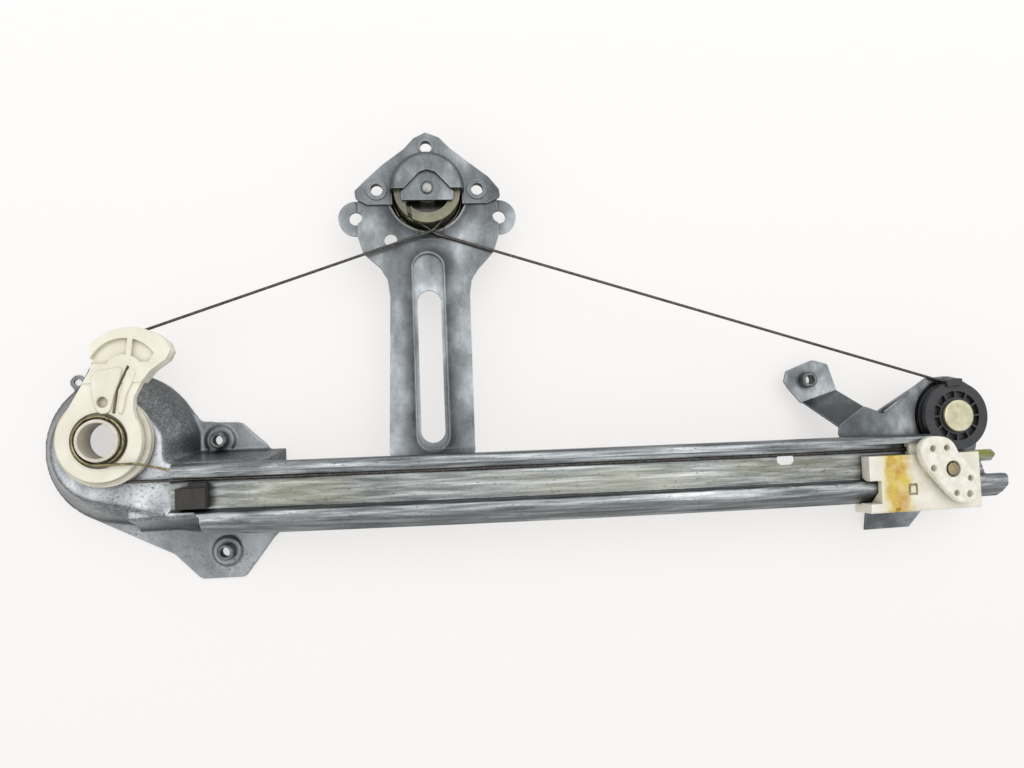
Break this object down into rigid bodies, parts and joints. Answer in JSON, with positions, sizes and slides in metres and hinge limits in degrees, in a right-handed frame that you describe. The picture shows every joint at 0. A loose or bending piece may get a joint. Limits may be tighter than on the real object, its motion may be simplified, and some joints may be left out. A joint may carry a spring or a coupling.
{
  "type": "window regulator",
  "caption": "Cable window regulator: arched steel guide rail with a sliding glass carrier, crank driven winder head on an arm, end brackets, guide pulleys and a sprung cable tensioner.",
  "frame": {"origin": "On the axis of the crank spindle, at the spindle's free end, which is also the plane that the part lies on.", "axes": "+X along the guide rail towards the end with the glass carrier, +Y from the rail to the winder head, +Z away from the table and out of the picture, which is the side with the cable and pulleys."},
  "size_m": [0.5243, 0.2348, 0.0467],
  "materials": {
    "zinc_steel": "zinc plated pressed steel, blotched",
    "rail_steel": "zinc plated rolled steel with a film of grease",
    "pin_steel": "turned steel",
    "passivated_steel": "yellow passivated zinc",
    "spring_steel": "oiled spring wire",
    "cable_steel": "greased stranded wire",
    "drum_nylon": "moulded nylon, greasy",
    "cream_nylon": "moulded acetal, aged cream",
    "white_nylon": "moulded nylon, stained",
    "black_nylon": "moulded black nylon",
    "stop_rubber": "moulded rubber"
  },
  "bodies": {
    "frame": {"guide_rail": "rail_steel", "bump_stop": "stop_rubber", "drive_bracket": "zinc_steel", "drum_cover": "zinc_steel", "cover_eyelets": "zinc_steel", "axle_pin": "pin_steel", "brake_cup": "pin_steel", "left_bracket": "zinc_steel", "threaded_bushes": "pin_steel", "pivot_tube": "cream_nylon", "tensioner_spring": "spring_steel", "right_bracket": "zinc_steel", "pulley_guard": "black_nylon", "pulley_rivet": "passivated_steel", "left_upper_cable": "cable_steel", "left_lower_cable": "cable_steel", "rail_cable": "cable_steel", "right_cable": "cable_steel"},
    "crank": {"crank_spindle": "pin_steel"},
    "drum": {"cable_drum": "drum_nylon", "brake_spring": "spring_steel"},
    "left_wheel": {"left_pulley": "cream_nylon"},
    "right_wheel": {"right_pulley": "black_nylon"},
    "tensioner": {"tensioner_lever": "cream_nylon", "fan_cable": "cable_steel"},
    "carrier": {"glass_carrier": "white_nylon", "clamp_pin": "passivated_steel", "left_cable_end": "pin_steel", "right_cable_end": "pin_steel"},
    "clamp": {"glass_clamp": "white_nylon"}
  },
  "joints": [
    {"name": "crank_turn", "type": "hinge", "parent": "frame", "child": "crank", "pos_m": [0, 0, 0.005], "axis": [0, 0, 1], "range_deg": [0, 1230]},
    {"name": "drum_turn", "type": "hinge", "parent": "frame", "child": "drum", "pos_m": [0, 0, 0.025], "axis": [0, 0, 1], "range_deg": [0, 1230]},
    {"name": "carrier_travel", "type": "hinge", "parent": "frame", "child": "carrier", "pos_m": [0.078, -0.165, -1.96], "axis": [0, 1, 0], "range_deg": [-9.84, 0]},
    {"name": "left_pulley_turn", "type": "hinge", "parent": "frame", "child": "left_wheel", "pos_m": [-0.1654, -0.1265, 0.03], "axis": [0, 0, 1], "range_deg": [-925, 0]},
    {"name": "right_pulley_turn", "type": "hinge", "parent": "frame", "child": "right_wheel", "pos_m": [0.2859, -0.1305, 0.0299], "axis": [0.0471, 0, 0.9989], "range_deg": [-1139, 0]},
    {"name": "tensioner_swing", "type": "hinge", "parent": "frame", "child": "tensioner", "pos_m": [-0.1654, -0.1265, 0.035], "axis": [0, 0, 1], "range_deg": [-3, 9], "stiffness_Nm_per_rad": 0.3, "deforming": ["tensioner_spring", "left_upper_cable", "left_lower_cable"]},
    {"name": "clamp_swivel", "type": "hinge", "parent": "carrier", "child": "clamp", "pos_m": [0.27555, -0.1588, 0.04232], "axis": [0.092, 0, 0.9958], "range_deg": [-50, 40]}
  ],
  "couplings": [
    {"joint": "crank_turn", "follows": "carrier_travel", "ratio": -125},
    {"joint": "drum_turn", "follows": "carrier_travel", "ratio": -125},
    {"joint": "left_pulley_turn", "follows": "carrier_travel", "ratio": 93.9},
    {"joint": "right_pulley_turn", "follows": "carrier_travel", "ratio": 115.61}
  ]
}
